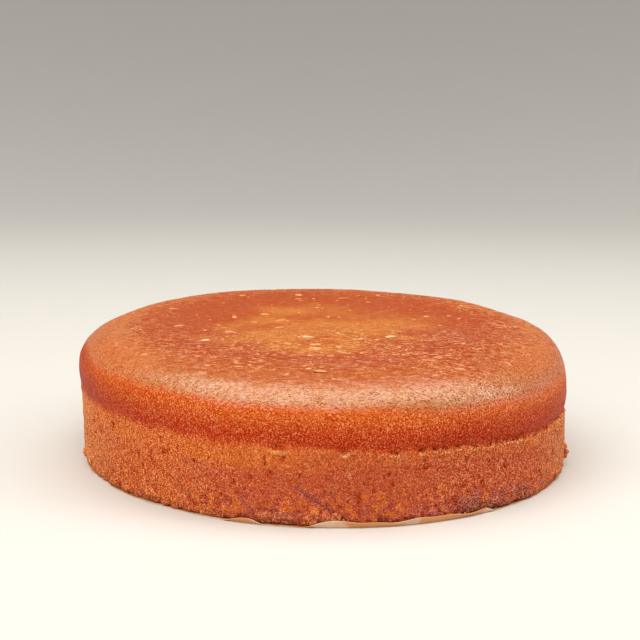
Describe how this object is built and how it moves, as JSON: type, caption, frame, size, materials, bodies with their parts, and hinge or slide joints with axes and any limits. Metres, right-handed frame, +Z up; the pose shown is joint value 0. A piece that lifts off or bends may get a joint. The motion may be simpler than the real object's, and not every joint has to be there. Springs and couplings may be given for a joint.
{
  "type": "butter cake",
  "caption": "Whole round butter cake with a smooth browned crown above a torn seam, a crumbly side and a disc of baking paper under its base.",
  "frame": {"origin": "centre of the cake's outline on the surface that it stands on", "axes": "+Z up from the base to the crown, -Y towards the front that the picture shows, +X to the right of that view"},
  "size_m": [0.2041, 0.2023, 0.0569],
  "materials": {
    "crust": "satin",
    "greased_paper": "satin"
  },
  "bodies": {
    "root": {"cake": "crust", "baking_paper": "greased_paper"}
  },
  "joints": []
}
